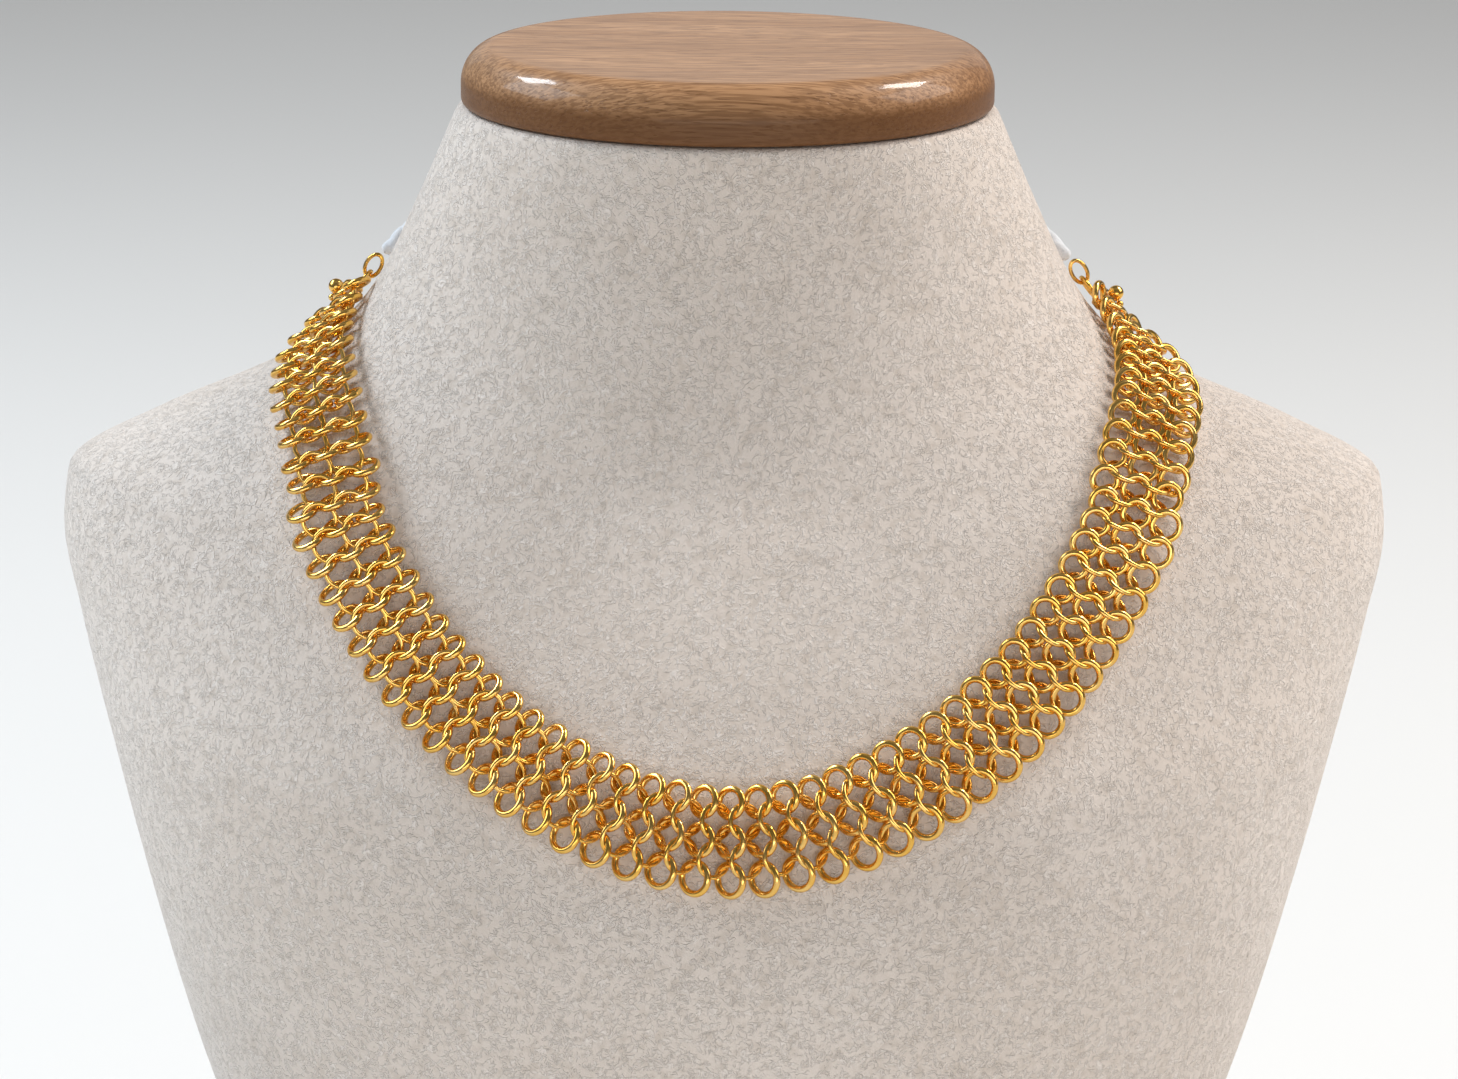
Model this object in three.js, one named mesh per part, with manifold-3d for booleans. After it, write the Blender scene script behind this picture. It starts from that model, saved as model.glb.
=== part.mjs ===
// A collar choker necklace of gold chain mail on the plain suede neck bust that shows it.
// Millimetres, +Z up, the front towards -Y, the origin at the centre of the bust's flat base.
// Left and right are the viewer's, looking at the front: left is -X.
import * as THREE from "three";
import { mergeVertices } from "three/addons/utils/BufferGeometryUtils.js";
import Module from "manifold-3d";

const wasm = await Module();
wasm.setup();

// Driving dimensions

const clearance = 0.3; // kept between pieces that touch on the real object

// The bust's level sections: how far each reaches to the side, to the front and to the back,
// and its squareness, where 2 is an ellipse and more is squarer.
const bustSections = tableOf(
  ["height", "side", "front", "back", "squareness"],
  [
    [0, 80, 74, 46, 2.3],
    [40, 94, 84, 50, 2.3],
    [80, 107, 92, 54, 2.3],
    [115, 116, 96, 56, 2.3],
    [140, 122, 92, 56, 2.3],
    [160, 127, 81, 55, 2.2],
    [176, 130, 70, 54, 2.15],
    [186, 129, 63, 53, 2.05],
    [195, 114, 57, 52, 2],
    [203, 95, 53, 51, 2],
    [211, 79, 50, 50, 2],
    [222, 69, 47, 48, 2],
    [240, 60, 44, 46, 2],
    [258.5, 52, 44, 44, 2],
  ],
);
const bustMesh = { around: 36, step: 12 };

// The wooden cap: an oval disc whose top edge is rounded over.
const cap = {
  side: 51.5,
  front: 44,
  squareness: 2,
  thickness: 11.2,
  roundWide: 6.5,
  roundHigh: 7.2,
  foot: 1.2,
};
const capMesh = { around: 36, roundSteps: 4 };

// The middle row's way round the bust. turn is in degrees from the front, to either side,
// and spacing is the distance across the band from one row of rings to the next.
const bandWay = tableOf(
  ["turn", "height", "spacing"],
  [
    [0, 140, 6.75],
    [6, 141.5, 6.75],
    [12.5, 146.2, 6.7],
    [19.5, 154.3, 6.5],
    [25.5, 165.2, 6.3],
    [30, 176.6, 6.2],
    [34, 186, 6.2],
    [40, 194, 6.2],
    [53, 202, 6.2],
    [68, 207.2, 6.3],
    [80, 210.6, 6.2],
    [88, 214, 5.9],
    [94, 217.5, 5.6],
    [99, 221.5, 5.4],
  ],
);

// The necklace hangs a little to the right and a little lower there.
const wayShift = { turn: 0.8, drop: 0.9 };

// The band is stiff, so it follows the bust's directions averaged over a short way round each place:
// a chord of so many degrees to either side, and these turns and heights.
const evening = { chord: 4, turns: [-5, 0, 5], heights: [-8, 0, 8] };

// Every ring of the mail leans the same way along the band, with one edge up and one edge tucked
// under its neighbour. lift is how far the rings' middles stand off the bust. The rows end one
// after another, so that the band tapers to its ends.
const mail = { lean: 36, wire: 1.3, lift: 2.85, segments: 6, wireSides: 3 };
const mailRows = [
  { side: 1, radius: 2.6, firstColumn: -30, lastColumn: 31 },
  { side: 0, radius: 2.75, firstColumn: -30, lastColumn: 31 },
  { side: -1, radius: 2.9, firstColumn: -29, lastColumn: 30 },
];
// How far along the middle row each column of rings sits from the front centre.
const mailColumns = tableOf(
  ["column", "length"],
  [
    [-31, -172.5],
    [-15, -83.5],
    [0, 0],
    [15, 84],
    [23, 127],
    [31, 168],
  ],
);
const mailStretches = [
  "mail_left_end",
  "mail_left_side",
  "mail_left_chest",
  "mail_front",
  "mail_right_chest",
  "mail_right_side",
  "mail_right_end",
];
const columnsPerStretch = 9;
// The connecting rings between two rows, joined into one flat web.
const web = { width: 2.6, thickness: 1.2, reach: 0.48, endShare: 0.45 };

// The end pieces on the right; the left ones are their mirror image. turn and height are a place
// on the bust, and lift is how far the piece's middle stands off it.
const endRing = { turn: 99, height: 219.8, lift: 2.1, radius: 2.3, wire: 0.95, segments: 14, wireSides: 6 };
const endLink = {
  turn: 99,
  height: 223,
  lift: 2.2,
  halfLength: 2.5,
  halfWidth: 1.5,
  wire: 0.8,
  segments: 14,
  wireSides: 6,
};
const ballBead = { turn: 93, height: 217.6, lift: 5.5, radius: 1.5, around: 12, rings: 8 };
const smallBead = { turn: 93.5, height: 215.6, lift: 4.6, radius: 0.75, around: 8, rings: 6 };

// The white tie: a cord from one end link round the back of the neck to the other.
const tie = { radius: 1.4, sides: 8, steps: 28, startTurn: 100.5, startHeight: 225.7, rise: 8, steepness: 6 };

// Materials

const suede = new THREE.MeshStandardMaterial({ color: 0xd9d0c4, roughness: 0.95, metalness: 0 });
const wood = new THREE.MeshStandardMaterial({ color: 0xb28a63, roughness: 0.3, metalness: 0 });
const gold = new THREE.MeshStandardMaterial({ color: 0xe0a840, roughness: 0.22, metalness: 1 });
const cotton = new THREE.MeshStandardMaterial({ color: 0xe9edf2, roughness: 0.8, metalness: 0 });

// Tables

function tableOf(columns, rows) {
  return rows.map((row) => Object.fromEntries(columns.map((name, i) => [name, row[i]])));
}

// A smooth curve through one column of a table, which never overshoots its rows.
function smoothColumn(rows, key, column) {
  const at = rows.map((row) => row[key]);
  const value = rows.map((row) => row[column]);
  const last = rows.length - 1;
  const secant = (i) => (value[i + 1] - value[i]) / (at[i + 1] - at[i]);
  const slope = rows.map((_, i) => {
    if (i === 0) return secant(0);
    if (i === last) return secant(last - 1);
    const before = secant(i - 1);
    const after = secant(i);
    return before * after <= 0 ? 0 : (2 * before * after) / (before + after);
  });
  return (x) => {
    let i = 0;
    while (i < last - 1 && x > at[i + 1]) i += 1;
    const span = at[i + 1] - at[i];
    const t = THREE.MathUtils.clamp((x - at[i]) / span, 0, 1);
    const hold = value[i] * (1 + 2 * t) * (1 - t) ** 2 + value[i + 1] * (3 - 2 * t) * t ** 2;
    return hold + span * (slope[i] * t * (1 - t) ** 2 - slope[i + 1] * (1 - t) * t ** 2);
  };
}

// The bust's surface

const sideAt = smoothColumn(bustSections, "height", "side");
const frontAt = smoothColumn(bustSections, "height", "front");
const backAt = smoothColumn(bustSections, "height", "back");
const squarenessAt = smoothColumn(bustSections, "height", "squareness");

// turn is in degrees, 0 at the front and 90 at the right.
function ovalPoint(side, front, back, squareness, turn, height) {
  const across = Math.sin(THREE.MathUtils.degToRad(turn));
  const ahead = Math.cos(THREE.MathUtils.degToRad(turn));
  const sum = Math.abs(across) ** squareness + Math.abs(ahead) ** squareness;
  const scale = sum ** (-1 / squareness);
  const depth = ahead > 0 ? front : back;
  return new THREE.Vector3(side * across * scale, -depth * ahead * scale, height);
}

function bustPoint(place) {
  const { turn, height } = place;
  const size = [sideAt(height), frontAt(height), backAt(height), squarenessAt(height)];
  return ovalPoint(...size, turn, height);
}

// How the surface point moves for each degree of turn and each millimetre of height.
function bustSlopes(place) {
  const nudge = 0.05;
  const slope = (name) => {
    const ahead = bustPoint({ ...place, [name]: place[name] + nudge });
    const behind = bustPoint({ ...place, [name]: place[name] - nudge });
    return ahead.sub(behind).divideScalar(2 * nudge);
  };
  return { perTurn: slope("turn"), perHeight: slope("height") };
}

function bustNormal(place) {
  const { perTurn, perHeight } = bustSlopes(place);
  return perTurn.cross(perHeight).normalize();
}

// Moves a place along the surface by a length in a world direction.
function slide(place, direction, length) {
  const steps = 4;
  let { turn, height } = place;
  for (let i = 0; i < steps; i += 1) {
    const { perTurn, perHeight } = bustSlopes({ turn, height });
    const tt = perTurn.dot(perTurn);
    const th = perTurn.dot(perHeight);
    const hh = perHeight.dot(perHeight);
    const t = perTurn.dot(direction);
    const h = perHeight.dot(direction);
    const determinant = tt * hh - th * th;
    turn += (((t * hh - h * th) / determinant) * length) / steps;
    height += (((h * tt - t * th) / determinant) * length) / steps;
  }
  return { turn, height };
}

// The band's middle line, measured from the front centre

const mirroredWay = bandWay
  .slice(1)
  .reverse()
  .map((row) => ({ ...row, turn: -row.turn }))
  .concat(bandWay);
const wayHeight = smoothColumn(mirroredWay, "turn", "height");
const waySpacing = smoothColumn(mirroredWay, "turn", "spacing");

function wayPlace(turn) {
  const drop = wayShift.drop * Math.sin(THREE.MathUtils.degToRad(turn));
  return { turn: turn + wayShift.turn, height: wayHeight(turn) - drop };
}

const lengthTable = [{ length: 0, turn: 0 }];
const turnStep = 0.5;
const lastTurn = bandWay.at(-1).turn;
for (let turn = turnStep; turn <= lastTurn; turn += turnStep) {
  const step = bustPoint(wayPlace(turn)).distanceTo(bustPoint(wayPlace(turn - turnStep)));
  lengthTable.push({ length: lengthTable.at(-1).length + step, turn });
}
const turnAtLength = smoothColumn(lengthTable, "length", "turn");
const columnLength = smoothColumn(mailColumns, "column", "length");

function evenNormal({ turn, height }) {
  const sum = new THREE.Vector3();
  for (const turned of evening.turns) {
    for (const raised of evening.heights) {
      sum.add(bustNormal({ turn: turn + turned, height: height + raised }));
    }
  }
  return sum.normalize();
}

// Where a ring of the mail sits: side is 1 for the row next to the neck and -1 for the outer one.
function mailFrame(column, side) {
  const length = columnLength(column);
  const turn = Math.sign(length) * turnAtLength(Math.abs(length));
  const middle = wayPlace(turn);
  const alongMiddle = bustPoint(wayPlace(turn + evening.chord))
    .sub(bustPoint(wayPlace(turn - evening.chord)))
    .normalize();
  const acrossMiddle = evenNormal(middle).cross(alongMiddle).normalize();
  const place = slide(middle, acrossMiddle, side * waySpacing(turn));
  const normal = evenNormal(place);
  const across = normal.clone().cross(alongMiddle).normalize();
  const along = across.clone().cross(normal);
  const point = bustPoint(place).addScaledVector(normal, mail.lift);
  return { point, normal, across, along };
}

// Solids

// A closed skin over a row of outlines with the same number of points each.
function loft(outlines) {
  const around = outlines[0].length;
  const points = outlines.flat();
  const middles = [outlines[0], outlines.at(-1)].map((outline) =>
    outline.reduce((sum, p) => sum.add(p), new THREE.Vector3()).divideScalar(around),
  );
  const faces = [];
  for (let k = 0; k < outlines.length - 1; k += 1) {
    for (let j = 0; j < around; j += 1) {
      const a = k * around + j;
      const b = k * around + ((j + 1) % around);
      faces.push(a, b, b + around, a, b + around, a + around);
    }
  }
  const first = points.length;
  const top = (outlines.length - 1) * around;
  for (let j = 0; j < around; j += 1) {
    const next = (j + 1) % around;
    faces.push(first, next, j);
    faces.push(first + 1, top + j, top + next);
  }
  const geometry = new THREE.BufferGeometry().setFromPoints([...points, ...middles]);
  geometry.setIndex(faces);
  return geometry;
}

function solidOf(geometry) {
  const bare = geometry.clone();
  bare.deleteAttribute("normal");
  bare.deleteAttribute("uv");
  const merged = mergeVertices(bare);
  const vertProperties = merged.getAttribute("position").array;
  const triVerts = new Uint32Array(merged.index.array);
  return new wasm.Manifold(new wasm.Mesh({ numProp: 3, vertProperties, triVerts }));
}

function geometryOf(solid) {
  const mesh = solid.getMesh();
  const geometry = new THREE.BufferGeometry();
  geometry.setAttribute("position", new THREE.BufferAttribute(mesh.vertProperties, 3));
  geometry.setIndex(new THREE.BufferAttribute(mesh.triVerts, 1));
  return geometry;
}

function joined(geometries) {
  return geometryOf(geometries.map(solidOf).reduce((sum, solid) => sum.add(solid)));
}

// A wire ring in the plane of its first two axes, stretched along the second.
function wireRing(centre, axes, radius, halfLength, size) {
  const geometry = new THREE.TorusGeometry(radius, size.wire / 2, size.wireSides, size.segments);
  geometry.scale(1, halfLength / radius, 1);
  const place = new THREE.Matrix4().makeBasis(...axes).setPosition(centre);
  return geometry.applyMatrix4(place);
}

// Pieces

function bustGeometry() {
  const heights = [bustSections[0].height];
  bustSections.slice(1).forEach((row, i) => {
    const from = bustSections[i].height;
    const parts = Math.ceil((row.height - from) / bustMesh.step);
    for (let k = 1; k <= parts; k += 1) heights.push(from + ((row.height - from) * k) / parts);
  });
  return loft(
    heights.map((height) =>
      Array.from({ length: bustMesh.around }, (_, j) =>
        bustPoint({ turn: (360 * j) / bustMesh.around, height }),
      ),
    ),
  );
}

function capGeometry() {
  const base = bustSections.at(-1).height + clearance;
  const straight = cap.thickness - cap.roundHigh;
  const profile = [
    { inset: cap.foot, rise: 0 },
    { inset: 0, rise: cap.foot },
  ];
  for (let i = 0; i <= capMesh.roundSteps; i += 1) {
    const angle = ((Math.PI / 2) * i) / capMesh.roundSteps;
    profile.push({
      inset: cap.roundWide * (1 - Math.cos(angle)),
      rise: straight + cap.roundHigh * Math.sin(angle),
    });
  }
  return loft(
    profile.map(({ inset, rise }) =>
      Array.from({ length: capMesh.around }, (_, j) => {
        const turn = (360 * j) / capMesh.around;
        const depth = cap.front - inset;
        return ovalPoint(cap.side - inset, depth, depth, cap.squareness, turn, base + rise);
      }),
    ),
  );
}

function mailRing(column, row) {
  const { point, normal, across, along } = mailFrame(column, row.side);
  const lean = THREE.MathUtils.degToRad(mail.lean);
  const raised = along.multiplyScalar(Math.cos(lean)).addScaledVector(normal, Math.sin(lean));
  const axis = across.clone().cross(raised);
  return wireRing(point, [across, raised, axis], row.radius, row.radius, mail);
}

// A flat strip that crosses the sides of the rings of two rows, from one column to another.
function mailWeb(from, to, side) {
  const corners = [
    [-1, -1],
    [1, -1],
    [1, 1],
    [-1, 1],
  ];
  const stations = [from - web.endShare];
  for (let column = from; column < to; column += 1) stations.push(column + 0.5);
  stations.push(to + web.endShare);
  return loft(
    stations.map((station) => {
      const { point, normal, across } = mailFrame(station, side * web.reach);
      return corners.map(([a, n]) =>
        point
          .clone()
          .addScaledVector(across, (a * web.width) / 2)
          .addScaledVector(normal, (n * web.thickness) / 2),
      );
    }),
  );
}

function mailGeometry(from, to) {
  const pieces = [];
  for (let column = from; column <= to; column += 1) {
    for (const row of mailRows) {
      if (column >= row.firstColumn && column <= row.lastColumn) pieces.push(mailRing(column, row));
    }
  }
  for (const row of [mailRows[0], mailRows[2]]) {
    const first = Math.max(from, row.firstColumn);
    const last = Math.min(to, row.lastColumn);
    pieces.push(mailWeb(first, last, row.side));
  }
  return joined(pieces);
}

// A piece's frame on the right of the neck, or on its left for hand -1.
function endFrame(size, hand) {
  const place = { turn: hand * size.turn, height: size.height };
  const normal = bustNormal(place);
  const { perTurn } = bustSlopes(place);
  const along = perTurn.normalize();
  const across = normal.clone().cross(along);
  return { point: bustPoint(place).addScaledVector(normal, size.lift), normal, along, across };
}

function endRingGeometry(hand) {
  const { point, normal, along, across } = endFrame(endRing, hand);
  return wireRing(point, [along, across, normal], endRing.radius, endRing.radius, endRing);
}

// The oval link stands on edge to the bust, with its long axis up the neck.
function endLinkGeometry(hand) {
  const { point, normal, along, across } = endFrame(endLink, hand);
  const axes = [normal.negate(), across, along];
  return wireRing(point, axes, endLink.halfWidth, endLink.halfLength, endLink);
}

function beadGeometry(bead, hand) {
  const { point } = endFrame(bead, hand);
  const geometry = new THREE.SphereGeometry(bead.radius, bead.around, bead.rings);
  return geometry.translate(...point.toArray());
}

function tieGeometry() {
  const span = 360 - 2 * tie.startTurn;
  const points = Array.from({ length: tie.steps + 1 }, (_, i) => {
    const share = i / tie.steps;
    const rise = tie.rise * (1 - (1 - 2 * share) ** tie.steepness);
    const place = { turn: tie.startTurn + span * share, height: tie.startHeight + rise };
    return bustPoint(place).addScaledVector(bustNormal(place), tie.radius + clearance);
  });
  const section = new THREE.Shape(
    Array.from({ length: tie.sides }, (_, i) => {
      const angle = (2 * Math.PI * i) / tie.sides;
      return new THREE.Vector2(tie.radius * Math.cos(angle), tie.radius * Math.sin(angle));
    }),
  );
  return new THREE.ExtrudeGeometry(section, {
    steps: tie.steps,
    extrudePath: new THREE.CatmullRomCurve3(points),
  });
}

// Assembly

const necklaceOnBust = new THREE.Group();

function addPiece(name, geometry, material) {
  const mesh = new THREE.Mesh(geometry, material);
  mesh.name = name;
  necklaceOnBust.add(mesh);
}

addPiece("bust_form", bustGeometry(), suede);
addPiece("wood_cap", capGeometry(), wood);
mailStretches.forEach((name, i) => {
  const from = (i - (mailStretches.length - 1) / 2) * columnsPerStretch - (columnsPerStretch - 1) / 2;
  addPiece(name, mailGeometry(from, from + columnsPerStretch - 1), gold);
});
for (const [word, hand] of [
  ["left", -1],
  ["right", 1],
]) {
  addPiece(`end_ring_${word}`, endRingGeometry(hand), gold);
  addPiece(`end_link_${word}`, endLinkGeometry(hand), gold);
  addPiece(`ball_bead_${word}`, beadGeometry(ballBead, hand), gold);
  addPiece(`small_bead_${word}`, beadGeometry(smallBead, hand), gold);
}
addPiece("neck_tie", tieGeometry(), cotton);

export default necklaceOnBust;
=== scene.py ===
import math

import bpy
import numpy as np
from mathutils import Matrix, Vector


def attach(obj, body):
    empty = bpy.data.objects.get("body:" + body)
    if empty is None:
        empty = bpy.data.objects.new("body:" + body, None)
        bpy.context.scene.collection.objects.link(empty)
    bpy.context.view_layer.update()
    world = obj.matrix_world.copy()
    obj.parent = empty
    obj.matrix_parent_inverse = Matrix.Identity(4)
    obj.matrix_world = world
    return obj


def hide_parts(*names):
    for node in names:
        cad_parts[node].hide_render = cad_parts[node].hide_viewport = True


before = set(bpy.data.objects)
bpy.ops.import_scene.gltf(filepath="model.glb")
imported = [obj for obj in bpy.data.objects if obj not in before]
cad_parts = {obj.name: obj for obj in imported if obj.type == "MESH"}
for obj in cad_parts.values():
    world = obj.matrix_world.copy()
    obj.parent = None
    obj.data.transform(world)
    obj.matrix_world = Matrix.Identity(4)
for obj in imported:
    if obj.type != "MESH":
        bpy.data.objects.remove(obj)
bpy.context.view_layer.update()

mm = 0.001
print("frame loaded")


# camera: just above the necklace, looking a little down

cameraLook = {
    "target": (1.0, 0.0, 171.0),  # mm
    "distance": 1000.0,
    "down": 16.0,  # degrees below level
    "roll": 0.5,
    "lens": 124.7,
}


def addCamera(look):
    data = bpy.data.cameras.new("camera")
    data.lens = look["lens"]
    data.sensor_width = 36
    data.clip_end = 50
    camera = bpy.data.objects.new("camera", data)
    bpy.context.scene.collection.objects.link(camera)
    down = math.radians(look["down"])
    back = Vector((0, -math.cos(down), math.sin(down))) * look["distance"]
    tilt = Matrix.Rotation(math.pi / 2 - down, 4, "X")
    roll = Matrix.Rotation(math.radians(look["roll"]), 4, "Z")
    spot = (Vector(look["target"]) + back) * mm
    camera.matrix_world = Matrix.Translation(spot) @ tilt @ roll
    bpy.context.scene.camera = camera


addCamera(cameraLook)


# shader helpers

class Value:
    # a socket that can be used in sums: each operator adds its Math node
    def __init__(self, material, socket):
        self.material = material
        self.socket = socket

    def math(self, operation, *others, clamp=False):
        settings = {"operation": operation, "use_clamp": clamp}
        inputs = dict(enumerate((self,) + others))
        return self.material.node("ShaderNodeMath", settings, inputs)

    def __add__(self, other):
        return self.math("ADD", other)

    def __sub__(self, other):
        return self.math("SUBTRACT", other)

    def __mul__(self, other):
        return self.math("MULTIPLY", other)

    def __radd__(self, other):
        return self.math("ADD", other)

    def __rmul__(self, other):
        return self.math("MULTIPLY", other)

    def __rsub__(self, other):
        return (self * -1).math("ADD", other)

    def __abs__(self):
        return self.math("ABSOLUTE")

    def clamped(self):
        return self.math("ADD", 0.0, clamp=True)


class Finish:
    # one material and the nodes it is made from
    def __init__(self, name):
        self.data = bpy.data.materials.new(name)
        self.data.use_nodes = True
        self.tree = self.data.node_tree
        self.tree.nodes.clear()

    def node(self, kind, settings=None, inputs=None, output=0):
        made = self.tree.nodes.new(kind)
        for key, value in (settings or {}).items():
            setattr(made, key, value)
        for key, value in (inputs or {}).items():
            if isinstance(value, Value):
                self.tree.links.new(value.socket, made.inputs[key])
            else:
                made.inputs[key].default_value = value
        return Value(self, made.outputs[output]) if made.outputs else None

    def place(self):
        return self.node("ShaderNodeTexCoord", output=3)

    def stretched(self, place, scale):
        return self.node("ShaderNodeVectorMath", {"operation": "MULTIPLY"}, {0: place, 1: scale})

    def noise(self, place, scale, detail=2.0, roughness=0.5, distortion=0.0):
        inputs = {
            "Vector": place,
            "Scale": scale,
            "Detail": detail,
            "Roughness": roughness,
            "Distortion": distortion,
        }
        return self.node("ShaderNodeTexNoise", {}, inputs)

    def noiseColour(self, place, scale):
        # three separate noises as one colour, for pushing places about
        inputs = {"Vector": place, "Scale": scale, "Detail": 1.0}
        return self.node("ShaderNodeTexNoise", {}, inputs, output=1)

    def between(self, value, low, high):
        # 0 below low, 1 above high, smooth in the middle
        settings = {"interpolation_type": "SMOOTHSTEP"}
        inputs = {0: value, 1: low, 2: high}
        return self.node("ShaderNodeMapRange", settings, inputs)

    def mix(self, share, first, second):
        inputs = {0: share, 6: colourOf(first), 7: colourOf(second)}
        return self.node("ShaderNodeMix", {"data_type": "RGBA"}, inputs, output=2)

    def bump(self, height, depth, strength=1.0):
        inputs = {"Height": height, "Distance": depth, "Strength": strength}
        return self.node("ShaderNodeBump", {}, inputs)

    def shade(self, inputs):
        shader = self.node("ShaderNodeBsdfPrincipled", {}, inputs)
        self.node("ShaderNodeOutputMaterial", {}, {"Surface": shader})


def colourOf(value):
    return value if isinstance(value, Value) else (*value, 1)


# mesh helpers, all in millimetres until the mesh is made

def skin(rows, columns, closeRows=False, closeColumns=True):
    # faces of a grid of points, row after row
    down = np.arange(rows if closeRows else rows - 1)
    over = np.arange(columns if closeColumns else columns - 1)
    r, c = (a.ravel() for a in np.meshgrid(down, over, indexing="ij"))
    r2, c2 = (r + 1) % rows, (c + 1) % columns
    return np.stack([r * columns + c, r * columns + c2, r2 * columns + c2, r2 * columns + c], axis=1)


def addPiece(name, points, faces, finish, node):
    mesh = bpy.data.meshes.new(name)
    mesh.from_pydata((np.asarray(points) * mm).tolist(), [], [list(face) for face in faces])
    mesh.validate()
    mesh.shade_smooth()
    mesh.materials.append(finish.data)
    piece = bpy.data.objects.new(name, mesh)
    bpy.context.scene.collection.objects.link(piece)
    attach(piece, "root")
    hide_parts(node)
    return piece


def joinParts(parts):
    points, faces, start = [], [], 0
    for partPoints, partFaces in parts:
        points.append(partPoints)
        faces += [[start + i for i in face] for face in np.asarray(partFaces).tolist()]
        start += len(partPoints)
    return np.concatenate(points), faces


def unit(vectors):
    return vectors / np.linalg.norm(vectors, axis=-1, keepdims=True)


def smoothColumn(at, value):
    # a smooth curve through the rows that never overshoots them
    at, value = np.array(at, float), np.array(value, float)
    secant = np.diff(value) / np.diff(at)
    before, after = secant[:-1], secant[1:]
    turns = before * after <= 0
    inner = np.where(turns, 0, 2 * before * after / np.where(turns, 1, before + after))
    slope = np.concatenate([secant[:1], inner, secant[-1:]])

    def curve(x):
        x = np.asarray(x, float)
        i = np.clip(np.searchsorted(at, x, side="left") - 1, 0, len(at) - 2)
        span = at[i + 1] - at[i]
        t = np.clip((x - at[i]) / span, 0, 1)
        hold = value[i] * (1 + 2 * t) * (1 - t) ** 2 + value[i + 1] * (3 - 2 * t) * t**2
        return hold + span * (slope[i] * t * (1 - t) ** 2 - slope[i + 1] * (1 - t) * t**2)

    return curve


# the bust's surface, as in the frame

bust = {
    # height, reach to the side, front and back, squareness
    "sections": [
        (0, 80, 74, 46, 2.3),
        (40, 94, 84, 50, 2.3),
        (80, 107, 92, 54, 2.3),
        (115, 116, 96, 56, 2.3),
        (140, 122, 92, 56, 2.3),
        (160, 127, 81, 55, 2.2),
        (176, 130, 70, 54, 2.15),
        (186, 129, 63, 53, 2.05),
        (195, 114, 57, 52, 2),
        (203, 95, 53, 51, 2),
        (211, 79, 50, 50, 2),
        (222, 69, 47, 48, 2),
        (240, 60, 44, 46, 2),
        (258.5, 52, 44, 44, 2),
    ],
    "around": 288,
    "step": 1.2,  # between levels
    "topRound": 1.6,
    "baseRound": 2.5,
    "cream": (0.785, 0.70, 0.63),
    # paler patches at random, and the painted highlight on the wrinkle ridges
    "creamPale": (0.93, 0.86, 0.805),
    # painted shade, for the hollows of the soft wrinkles
    "creamHollowShade": (0.55, 0.47, 0.395),
    "wrinkleScale": 760,  # per metre
    "wrinkleDepth": 0.34 * mm,
}

sectionColumns = list(zip(*bust["sections"]))
sideAt, frontAt, backAt, squarenessAt = (smoothColumn(sectionColumns[0], c) for c in sectionColumns[1:])


def ovalPoint(side, front, back, squareness, turn, height):
    across, ahead = np.sin(np.radians(turn)), np.cos(np.radians(turn))
    scale = (np.abs(across) ** squareness + np.abs(ahead) ** squareness) ** (-1 / squareness)
    depth = np.where(ahead > 0, front, back)
    return np.stack(np.broadcast_arrays(side * across * scale, -depth * ahead * scale, height), axis=-1)


def bustPoint(turn, height):
    turn, height = np.broadcast_arrays(np.asarray(turn, float), np.asarray(height, float))
    return ovalPoint(sideAt(height), frontAt(height), backAt(height), squarenessAt(height), turn, height)


def bustSlopes(turn, height, nudge=0.05):
    perTurn = (bustPoint(turn + nudge, height) - bustPoint(turn - nudge, height)) / (2 * nudge)
    perHeight = (bustPoint(turn, height + nudge) - bustPoint(turn, height - nudge)) / (2 * nudge)
    return perTurn, perHeight


def bustNormal(turn, height):
    return unit(np.cross(*bustSlopes(turn, height)))


def dot(a, b):
    return (a * b).sum(axis=-1)


def slide(turn, height, direction, length, steps=4):
    # moves places along the surface by a length in a world direction
    for _ in range(steps):
        perTurn, perHeight = bustSlopes(turn, height)
        tt, th, hh = dot(perTurn, perTurn), dot(perTurn, perHeight), dot(perHeight, perHeight)
        t, h = dot(perTurn, direction), dot(perHeight, direction)
        share = length / steps / (tt * hh - th * th)
        turn = turn + (t * hh - h * th) * share
        height = height + (h * tt - t * th) * share
    return turn, height


# suede: pale cream nap with short curled wrinkles

def makeSuede(look):
    suede = Finish("suede")
    place = suede.place()
    scale = look["wrinkleScale"]
    ridges = 0.0
    for share, shift in ((1.0, (0.0, 0.0, 0.0)), (1.27, (0.31, 0.17, 0.53)), (0.81, (0.7, 0.4, 0.2))):
        there = suede.node("ShaderNodeVectorMath", {"operation": "ADD"}, {0: place, 1: shift})
        line = 1 - abs(suede.noise(there, scale * share, 1.0, 0.4, 0.9) - 0.5) * 16
        broken = suede.between(suede.noise(there, scale * share * 0.9, 0.0), 0.47, 0.62)
        ridges = line.clamped() * broken + ridges
    ridges = ridges.clamped()
    nap = suede.noise(place, 2600, 2.0, 0.6)
    soft = suede.noise(place, 420, 2.0, 0.5)
    blotch = suede.between(suede.noise(place, 16, 3.0, 0.55), 0.36, 0.66)
    colour = suede.mix(blotch * 0.35, look["cream"], look["creamPale"])
    # painted shade: where the soft noise is low, and the bump sinks, the colour is darkened
    colour = suede.mix(suede.between(soft, 0.52, 0.3) * 0.35, colour, look["creamHollowShade"])
    # painted highlight: the wrinkle ridges, which the bump raises, are painted paler
    colour = suede.mix(ridges * 0.7, colour, look["creamPale"])
    height = ridges * 0.6 + soft * 0.55 + nap * 0.3
    suede.shade(
        {
            "Base Color": colour,
            "Roughness": 0.92 + nap * 0.06,
            "Specular IOR Level": 0.25,
            "Sheen Weight": 0.3,
            "Sheen Roughness": 0.45,
            "Sheen Tint": (1.0, 0.97, 0.93, 1),
            "Normal": suede.bump(height, look["wrinkleDepth"], 0.9),
        }
    )
    return suede


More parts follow.
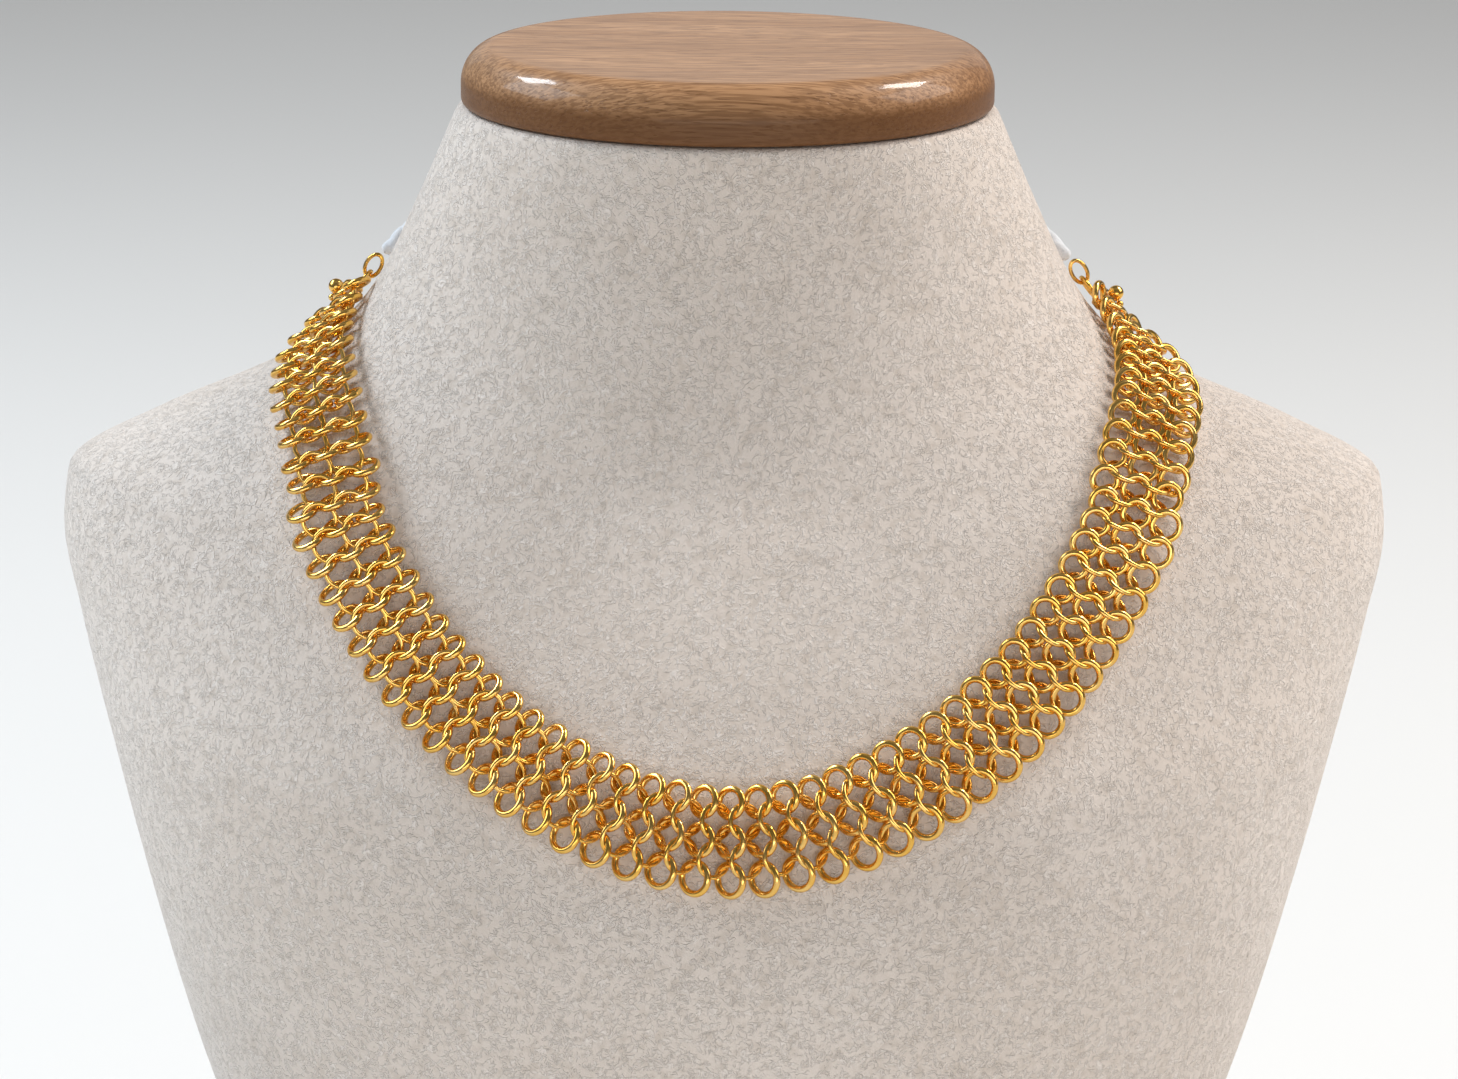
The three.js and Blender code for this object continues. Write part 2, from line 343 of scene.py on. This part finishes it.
def buildBust(look):
    top = look["sections"][-1][0]
    levels = np.linspace(0, top, round(top / look["step"]) + 1)
    baseRound, topRound = look["baseRound"], look["topRound"]
    arc = np.radians(np.linspace(0, 90, 7))
    base = baseRound * (1 - np.cos(arc))
    levels = np.concatenate([base, levels[(levels > baseRound) & (levels < top - topRound)]])
    levels = np.concatenate([levels, top - topRound + topRound * np.sin(arc)])
    turns = np.linspace(0, 360, look["around"], endpoint=False)
    points = bustPoint(turns[None, :], levels[:, None])
    normal = bustNormal(turns[None, :], levels[:, None])
    normal[..., 2] = 0
    low = np.clip((baseRound - levels) / baseRound, 0, 1)
    high = np.clip((levels - top + topRound) / topRound, 0, 1)
    inset = baseRound * (1 - np.sqrt(1 - low**2)) + topRound * (1 - np.sqrt(1 - high**2))
    points = points - normal * inset[:, None, None]
    around, count = look["around"], len(levels)
    faces = skin(count, around).tolist()
    faces += [list(range(around))[::-1], list(range((count - 1) * around, count * around))]
    addPiece("bustForm", points.reshape(-1, 3), faces, makeSuede(look), "bust_form")


buildBust(bust)
print("bust built")


# the wooden cap

cap = {
    "side": 51.5,
    "front": 44.0,
    "thickness": 11.2,
    "roundWide": 6.5,
    "roundHigh": 7.2,
    "foot": 1.2,
    "gap": 0.3,  # above the neck
    "around": 256,
    "pale": (0.52, 0.285, 0.14),
    "middle": (0.40, 0.205, 0.092),
    # for the grain lines, the pores, and the painted shade on the sides
    "dark": (0.13, 0.050, 0.014),
    "grainDepth": 0.09 * mm,
}


def makeWood(look):
    wood = Finish("oiledWood")
    place = wood.place()
    wander = wood.noise(wood.stretched(place, (0.35, 1, 1)), 18, 2.0)
    bent = wood.node(
        "ShaderNodeVectorMath",
        {"operation": "MULTIPLY_ADD"},
        {0: wood.noiseColour(wood.stretched(place, (0.3, 1, 1)), 22), 1: (0, 0.016, 0.016), 2: place},
    )
    broad = wood.noise(wood.stretched(bent, (0.09, 1, 1.2)), 130, 3.0, 0.55)
    fibre = wood.noise(wood.stretched(bent, (0.035, 1, 1)), 1500, 3.0, 0.6)
    pore = wood.noise(wood.stretched(bent, (0.06, 1, 1)), 2300, 1.0, 0.5)
    colour = wood.mix(wood.between(broad, 0.34, 0.66), look["middle"], look["pale"])
    colour = wood.mix(wood.between(wander, 0.4, 0.7) * 0.35, colour, look["pale"])
    # painted shade: faces turned away from up, the cap's sides, are darkened
    facing = wood.node("ShaderNodeTexCoord", output=1)
    upward = wood.node("ShaderNodeSeparateXYZ", {}, {0: facing}, output=2)
    colour = wood.mix(wood.between(upward, 0.45, 0.0) * 0.8, colour, look["dark"])
    colour = wood.mix(wood.between(fibre, 0.60, 0.4) * 0.5, colour, look["dark"])
    pores = wood.between(pore, 0.60, 0.68)
    colour = wood.mix(pores * 0.5, colour, look["dark"])
    wood.shade(
        {
            "Base Color": colour,
            "Roughness": 0.38 + fibre * 0.12,
            "Specular IOR Level": 0.2,
            "Coat Weight": wood.between(upward, 0.02, 0.5) * 0.36 + 0.06,
            "Coat Roughness": 0.09,
            "Coat IOR": 1.45,
            "Normal": wood.bump(fibre * 0.6 - pores * 0.8, look["grainDepth"], 0.7),
        }
    )
    return wood


def buildCap(look):
    base = bust["sections"][-1][0] + look["gap"]
    straight = look["thickness"] - look["roundHigh"]
    foot = np.radians(np.linspace(90, 0, 6))
    profile = [(look["foot"] * (1 - math.cos(a)), look["foot"] * (1 - math.sin(a))) for a in foot]
    profile += [(0, rise) for rise in np.linspace(look["foot"], straight, 4)[1:]]
    for a in np.radians(np.linspace(0, 90, 25))[1:]:
        inset = look["roundWide"] * (1 - math.cos(a))
        profile.append((inset, straight + look["roundHigh"] * math.sin(a)))
    inset, rise = np.array(profile).T
    for extra in np.linspace(inset[-1], 40, 16)[1:]:
        inset, rise = np.append(inset, extra), np.append(rise, rise[-1])
    turns = np.linspace(0, 360, look["around"], endpoint=False)
    depth = (look["front"] - inset)[:, None]
    side = (look["side"] - inset)[:, None]
    points = ovalPoint(side, depth, depth, 2, turns[None, :], (base + rise)[:, None])
    around, count = look["around"], len(inset)
    faces = skin(count, around).tolist()
    faces += [list(range(around))[::-1], list(range((count - 1) * around, count * around))]
    addPiece("woodCap", points.reshape(-1, 3), faces, makeWood(look), "wood_cap")


buildCap(cap)
print("cap built")


# gold, shared by the mail and the end pieces

gold = {
    "colour": (0.88, 0.505, 0.10),
    "paler": (0.97, 0.67, 0.26),
    "roughness": 0.14,
}


def makeGold(look):
    metal = Finish("yellowGold")
    place = metal.place()
    worn = metal.noise(place, 240, 2.0, 0.55)
    fine = metal.noise(place, 3200, 2.0, 0.6)
    metal.shade(
        {
            "Base Color": metal.mix(metal.between(worn, 0.35, 0.7) * 0.6, look["colour"], look["paler"]),
            "Metallic": 1.0,
            "Roughness": look["roughness"] + worn * 0.08 + fine * 0.04,
            "Normal": metal.bump(fine, 0.006 * mm, 0.5),
        }
    )
    return metal


goldFinish = makeGold(gold)


# the mail: three rows of face rings, and the connecting rings between them

mail = {
    # column of rings, distance along the middle row from the front centre
    "columns": [(-31, -172.5), (-15, -83.5), (0, 0), (15, 84), (23, 127), (31, 168)],
    "wire": 1.32,
    "lean": 36.0,  # of the face rings, degrees
    "lift": 2.85,  # of the ring centres above the bust
    # which side of the middle row, ring radius, first and last column
    "rows": {"inner": (1, 2.6, -30, 31), "middle": (0, 2.75, -30, 31), "outer": (-1, 2.9, -29, 30)},
    "pairs": [("middle", "inner"), ("middle", "outer")],
    "linkRadius": 3.15,
    "linkLean": 32.0,
    "linkWire": 0.92,
    "segments": 44,
    "wireSides": 12,
    "looseness": {"lean": 3.0, "twist": 2.5, "shift": 0.1},
    "pitch": 5.5,  # between columns, nearly
    "fullSpacing": 5.3,  # rings shrink where the rows come closer than this and a wire
    "leastReach": 0.88,
    "stretchColumns": 9,
    "seed": 11,
}

# the middle row's way: turn from the front, height, distance between rows
way = {
    "rows": [
        (0, 140, 6.75),
        (6, 141.5, 6.75),
        (12.5, 146.2, 6.7),
        (19.5, 154.3, 6.5),
        (25.5, 165.2, 6.3),
        (30, 176.6, 6.2),
        (34, 186, 6.2),
        (40, 194, 6.2),
        (53, 202, 6.2),
        (68, 207.2, 6.3),
        (80, 210.6, 6.2),
        (88, 214, 5.9),
        (94, 217.5, 5.6),
        (99, 221.5, 5.4),
    ],
    "shiftTurn": 0.8,
    "drop": 0.9,
    # the band is stiff, so its directions are averaged over this much either way
    "chord": 4,
    "evenTurns": (-5, 0, 5),
    "evenHeights": (-8, 0, 8),
}

bothSides = [(-t, h, s) for t, h, s in way["rows"][:0:-1]] + way["rows"]
wayTurns, wayHeights, waySpacings = zip(*bothSides)
wayHeight = smoothColumn(wayTurns, wayHeights)
waySpacing = smoothColumn(wayTurns, waySpacings)


def wayPlace(turn):
    return turn + way["shiftTurn"], wayHeight(turn) - way["drop"] * np.sin(np.radians(turn))


wayGrid = np.arange(0, way["rows"][-1][0] + 0.01, 0.5)
wayPoints = bustPoint(*wayPlace(wayGrid))
waySteps = np.linalg.norm(np.diff(wayPoints, axis=0), axis=1)
turnAtLength = smoothColumn(np.concatenate([[0], np.cumsum(waySteps)]), wayGrid)
columnLength = smoothColumn(*zip(*mail["columns"]))


def wayTurn(column):
    length = columnLength(column)
    return np.sign(length) * turnAtLength(np.abs(length))


def evenNormal(turn, height):
    # the bust's direction averaged over a short way round
    around = [bustNormal(turn + t, height + h) for t in way["evenTurns"] for h in way["evenHeights"]]
    return unit(sum(around))


def mailFrames(column, offset):
    # where rings sit: offset is the distance across the band from its middle line
    turn = wayTurn(column)
    chord = way["chord"]
    along = unit(bustPoint(*wayPlace(turn + chord)) - bustPoint(*wayPlace(turn - chord)))
    across = unit(np.cross(evenNormal(*wayPlace(turn)), along))
    place = slide(*wayPlace(turn), across, offset)
    normal = evenNormal(*place)
    across = unit(np.cross(normal, along))
    along = np.cross(across, normal)
    return bustPoint(*place) + normal * mail["lift"], normal, across, along


def ringsMesh(centre, first, second, radius, wire, segments, sides):
    # one joined mesh of round wire rings in the planes of first and second
    axis = np.cross(first, second)
    t = np.linspace(0, 2 * np.pi, segments, endpoint=False)[None, :, None, None]
    p = np.linspace(0, 2 * np.pi, sides, endpoint=False)[None, None, :, None]
    centre, first, second, axis = (a[:, None, None, :] for a in (centre, first, second, axis))
    reach = np.reshape(radius, (-1, 1, 1, 1)) + wire / 2 * np.cos(p)
    points = centre + reach * (np.cos(t) * first + np.sin(t) * second) + wire / 2 * np.sin(p) * axis
    one = skin(segments, sides, closeRows=True)
    step = segments * sides
    count = centre.shape[0]
    faces = (one[None] + (np.arange(count) * step)[:, None, None]).reshape(-1, 4)
    return points.reshape(-1, 3), faces


def leaned(first, along, normal, lean, twist, hand):
    # the ring's second axis rises along the band, or falls for hand -1, and it is turned a little
    lean, twist = np.radians(lean)[:, None], np.radians(twist)[:, None]
    second = along * np.cos(lean) + hand * normal * np.sin(lean)
    return unit(first + second * np.sin(twist)), unit(second - first * np.sin(twist))


def columnsOf(stretch, stretches):
    # the columns of one stretch, counted so that the middle stretch is at the front centre
    size = mail["stretchColumns"]
    start = (stretch - stretches // 2) * size - size // 2
    return np.arange(start, start + size)


def faceRings(columns, row, chance):
    side, radius, first, last = mail["rows"][row]
    columns = columns[(columns >= first) & (columns <= last)].astype(float)
    spacing = waySpacing(wayTurn(columns))
    reach = radius * np.clip((spacing - mail["wire"]) / mail["fullSpacing"], mail["leastReach"], 1)
    loose = mail["looseness"]
    count = len(columns)
    shift = chance.uniform(-1, 1, (2, count)) * loose["shift"]
    shiftedColumns = columns + shift[0] / mail["pitch"]
    centre, normal, across, along = mailFrames(shiftedColumns, side * spacing + shift[1])
    lean = mail["lean"] + chance.uniform(-1, 1, count) * loose["lean"]
    twist = chance.uniform(-1, 1, count) * loose["twist"]
    first, second = leaned(across, along, normal, lean, twist, 1)
    return ringsMesh(centre, first, second, reach, mail["wire"], mail["segments"], mail["wireSides"])


def linkRings(columns, pair, chance):
    (_, nearRadius, _, _), (side, farRadius, first, last) = (mail["rows"][row] for row in pair)
    columns = columns[(columns >= first) & (columns + 1 <= last)] + 0.5
    spacing = waySpacing(wayTurn(columns))
    offset = side * (nearRadius + spacing - farRadius) / 2
    count = len(columns)
    centre, normal, across, along = mailFrames(columns, offset)
    loose = mail["looseness"]
    lean = mail["linkLean"] + chance.uniform(-1, 1, count) * loose["lean"]
    twist = chance.uniform(-1, 1, count) * loose["twist"]
    first, second = leaned(across, along, normal, lean, twist, -1)
    radius = np.full(count, mail["linkRadius"])
    return ringsMesh(centre, first, second, radius, mail["linkWire"], mail["segments"], mail["wireSides"])


def buildMail():
    chance = np.random.default_rng(mail["seed"])
    stretches = ["LeftEnd", "LeftSide", "LeftChest", "Front", "RightChest", "RightSide", "RightEnd"]
    nodes = ["left_end", "left_side", "left_chest", "front", "right_chest", "right_side", "right_end"]
    for stretch, (name, node) in enumerate(zip(stretches, nodes)):
        columns = columnsOf(stretch, len(stretches))
        parts = [faceRings(columns, row, chance) for row in mail["rows"]]
        parts += [linkRings(columns, pair, chance) for pair in mail["pairs"]]
        points, faces = joinParts(parts)
        addPiece("mail" + name, points, faces, goldFinish, "mail_" + node)


buildMail()
print("mail built")


# end rings, oval links and beads, mirrored on the two sides

ends = {
    "ring": {"turn": 99, "height": 219.8, "lift": 2.1, "radius": 2.3, "wire": 0.95},
    "link": {"turn": 99, "height": 223, "lift": 2.2, "long": 2.5, "wide": 1.5, "wire": 0.8},
    "ball": {"turn": 93, "height": 217.6, "lift": 5.5, "radius": 1.5, "collar": 0.45},
    "small": {"turn": 93.5, "height": 215.6, "lift": 4.6, "radius": 0.75, "collar": 0.28},
}


def endFrame(size, hand):
    turn, height = np.array([hand * size["turn"]], float), np.array([size["height"]], float)
    normal = bustNormal(turn, height)
    along = unit(bustSlopes(turn, height)[0])
    across = np.cross(normal, along)
    return bustPoint(turn, height) + normal * size["lift"], normal, across, along


def ovalRing(centre, first, second, wide, long, wire, segments=64, sides=16):
    # a wire ring stretched along its second axis
    points, faces = ringsMesh(np.zeros((1, 3)), np.eye(3)[:1], np.eye(3)[1:2], wide, wire, segments, sides)
    angle = np.arctan2(points[:, 1], points[:, 0])
    points[:, 1] += (long - wide) * np.sin(angle)
    axes = np.stack([first[0], second[0], np.cross(first[0], second[0])])
    return points @ axes + centre, faces


def turnedBead(centre, axis, radius, collar):
    # a polished ball with a small collar where its wire goes in
    angle = np.radians(np.linspace(0, 152, 30))
    profile = [(radius * math.sin(a), radius * math.cos(a)) for a in angle]
    foot = profile[-1][1]
    for a in np.radians(np.linspace(-60, 80, 10)):
        profile.append((collar * (0.8 + 0.35 * math.cos(a)), foot - collar * (0.35 + 0.35 * math.sin(a))))
    profile = profile[1:]
    reach, rise = np.array(profile).T
    count, sides = len(profile), 40
    helper = np.array([0.0, 0.0, 1.0]) if abs(axis[2]) < 0.9 else np.array([1.0, 0.0, 0.0])
    first = unit(np.cross(axis, helper))
    second = np.cross(axis, first)
    turns = np.linspace(0, 2 * np.pi, sides, endpoint=False)[None, :, None]
    points = centre + reach[:, None, None] * (np.cos(turns) * first + np.sin(turns) * second)
    points = points + rise[:, None, None] * axis
    faces = [face[::-1] for face in skin(count, sides).tolist()]
    faces += [list(range(sides)), list(range((count - 1) * sides, count * sides))[::-1]]
    return points.reshape(-1, 3), faces


def buildEnds():
    for word, hand in (("Left", -1), ("Right", 1)):
        lower = word.lower()
        ring = ends["ring"]
        centre, normal, across, along = endFrame(ring, hand)
        points, faces = ringsMesh(centre, along, across, ring["radius"], ring["wire"], 64, 16)
        addPiece("endRing" + word, points, faces, goldFinish, "end_ring_" + lower)
        link = ends["link"]
        centre, normal, across, along = endFrame(link, hand)
        points, faces = ovalRing(centre, -normal, across, link["wide"], link["long"], link["wire"])
        addPiece("endLink" + word, points, faces, goldFinish, "end_link_" + lower)
        ball = ends["ball"]
        centre, normal, across, along = endFrame(ball, hand)
        points, faces = turnedBead(centre, unit(across[0] + normal[0] * 0.6), ball["radius"], ball["collar"])
        addPiece("ballBead" + word, points, faces, goldFinish, "ball_bead_" + lower)
        small = ends["small"]
        centre, normal, across, along = endFrame(small, hand)
        points, faces = turnedBead(centre, normal[0], small["radius"], small["collar"])
        addPiece("smallBead" + word, points, faces, goldFinish, "small_bead_" + lower)


buildEnds()
print("end pieces built")


# the white tie round the back of the neck: two strands twisted together

tie = {
    "radius": 1.4,
    "startTurn": 100.5,
    "startHeight": 225.7,
    "rise": 8.0,
    "steepness": 6,
    "gap": 0.3,
    "stations": 520,
    "sides": 20,
    "twistEvery": 5.0,  # mm for half a turn of the strands
    "white": (0.83, 0.86, 0.90),
    "shade": (0.62, 0.66, 0.72),
}


def makeCotton(look):
    cotton = Finish("whiteCotton")
    place = cotton.place()
    fibre = cotton.noise(place, 2400, 3.0, 0.6)
    grey = cotton.between(cotton.noise(place, 500, 2.0), 0.35, 0.7)
    cotton.shade(
        {
            "Base Color": cotton.mix(grey * 0.3, look["white"], look["shade"]),
            "Roughness": 0.75 + fibre * 0.15,
            "Sheen Weight": 0.3,
            "Sheen Roughness": 0.4,
            "Normal": cotton.bump(fibre, 0.08 * mm, 0.6),
        }
    )
    return cotton


def buildTie(look):
    share = np.linspace(0, 1, look["stations"])
    span = 360 - 2 * look["startTurn"]
    turn = look["startTurn"] + span * share
    height = look["startHeight"] + look["rise"] * (1 - (1 - 2 * share) ** look["steepness"])
    normal = bustNormal(turn, height)
    middle = bustPoint(turn, height) + normal * (look["radius"] + look["gap"])
    along = unit(np.gradient(middle, axis=0))
    across = unit(np.cross(normal, along))
    normal = np.cross(along, across)
    length = np.concatenate([[0], np.cumsum(np.linalg.norm(np.diff(middle, axis=0), axis=1))])
    print("tie length in millimetres:", round(float(length[-1]), 1))
    angle = np.linspace(0, 2 * np.pi, look["sides"], endpoint=False)[None, :]
    phase = (np.pi * length / look["twistEvery"])[:, None]
    reach = look["radius"] * (0.8 + 0.2 * np.abs(np.cos(angle - phase)))
    end = np.minimum(length, length[-1] - length)[:, None]
    reach = reach * np.sqrt(np.clip(end / 0.9, 0.06, 1))  # sealed, rounded ends
    points = middle[:, None, :] + (reach * np.cos(angle))[..., None] * normal[:, None, :]
    points = points + (reach * np.sin(angle))[..., None] * across[:, None, :]
    sides, count = look["sides"], look["stations"]
    faces = skin(count, sides).tolist()
    faces += [list(range(sides))[::-1], list(range((count - 1) * sides, count * sides))]
    addPiece("neckTie", points.reshape(-1, 3), faces, makeCotton(look), "neck_tie")


buildTie(tie)
print("tie built")


# floor and lights

stage = {
    "floorSize": 12.0,  # metres
    "floor": (0.78, 0.78, 0.77),
    "world": (0.92, 0.96, 1.0),
    "worldStrength": 0.15,
    # name, place, aim, width and height in metres, watts, colour
    "lights": [
        ("ceilingLeft", (-0.85, 0.42, 1.20), (0, 0, 0.2), (0.30, 0.30), 9.2, (0.88, 0.94, 1.0)),
        ("ceilingRight", (0.75, 0.36, 1.25), (0, 0, 0.2), (0.30, 0.30), 9.8, (1.0, 0.95, 0.90)),
        ("sideLeft", (-1.45, 0.05, 1.15), (0, 0, 0.15), (1.0, 0.8), 12.2, (0.79, 0.90, 1.0)),
        ("sideRight", (1.45, 0.08, 1.15), (0, 0, 0.15), (1.0, 0.8), 11.4, (1.0, 0.93, 0.88)),
        ("roofSoft", (0.0, -0.3, 1.9), (0, 0, 0.15), (1.8, 1.2), 0.8, (1.0, 0.97, 0.93)),
        ("frontLow", (0.1, -1.4, 0.24), (0, 0, 0.05), (1.6, 0.25), 5.1, (1.0, 0.95, 0.90)),
        ("frontFill", (0.3, -2.2, 0.9), (0, 0, 0.15), (1.4, 0.7), 0.8, (1.0, 0.95, 0.90)),
        ("backGlow", (0.0, 2.2, 0.95), (0, 0, 0.25), (2.4, 1.2), 4.0, (1.0, 0.95, 0.90)),
    ],
}


def addLight(name, place, aim, size, watts, colour):
    data = bpy.data.lights.new(name, "AREA")
    data.shape = "RECTANGLE"
    data.size, data.size_y = size
    data.energy = watts
    data.color = colour
    light = bpy.data.objects.new(name, data)
    light.location = place
    light.visible_camera = False
    light.rotation_euler = (Vector(aim) - Vector(place)).to_track_quat("-Z", "Y").to_euler()
    bpy.context.scene.collection.objects.link(light)


def buildStage(look):
    floor = Finish("paleFloor")
    cloud = floor.noise(floor.place(), 1.5, 2.0)
    paler = tuple(0.96 * c for c in look["floor"])
    floor.shade({"Base Color": floor.mix(cloud, look["floor"], paler), "Roughness": 0.8})
    half = look["floorSize"] / 2
    mesh = bpy.data.meshes.new("floor")
    corners = [(-half, -half, 0), (half, -half, 0), (half, half, 0), (-half, half, 0)]
    mesh.from_pydata(corners, [], [(0, 1, 2, 3)])
    mesh.materials.append(floor.data)
    plane = bpy.data.objects.new("floor", mesh)
    plane.location.z = -0.2 * mm
    bpy.context.scene.collection.objects.link(plane)
    world = bpy.data.worlds.new("roomLight")
    world.use_nodes = True
    background = world.node_tree.nodes["Background"]
    background.inputs["Color"].default_value = (*look["world"], 1)
    background.inputs["Strength"].default_value = look["worldStrength"]
    bpy.context.scene.world = world
    for light in look["lights"]:
        addLight(*light)
    bpy.context.scene.view_settings.view_transform = "Standard"


buildStage(stage)
print("stage built")
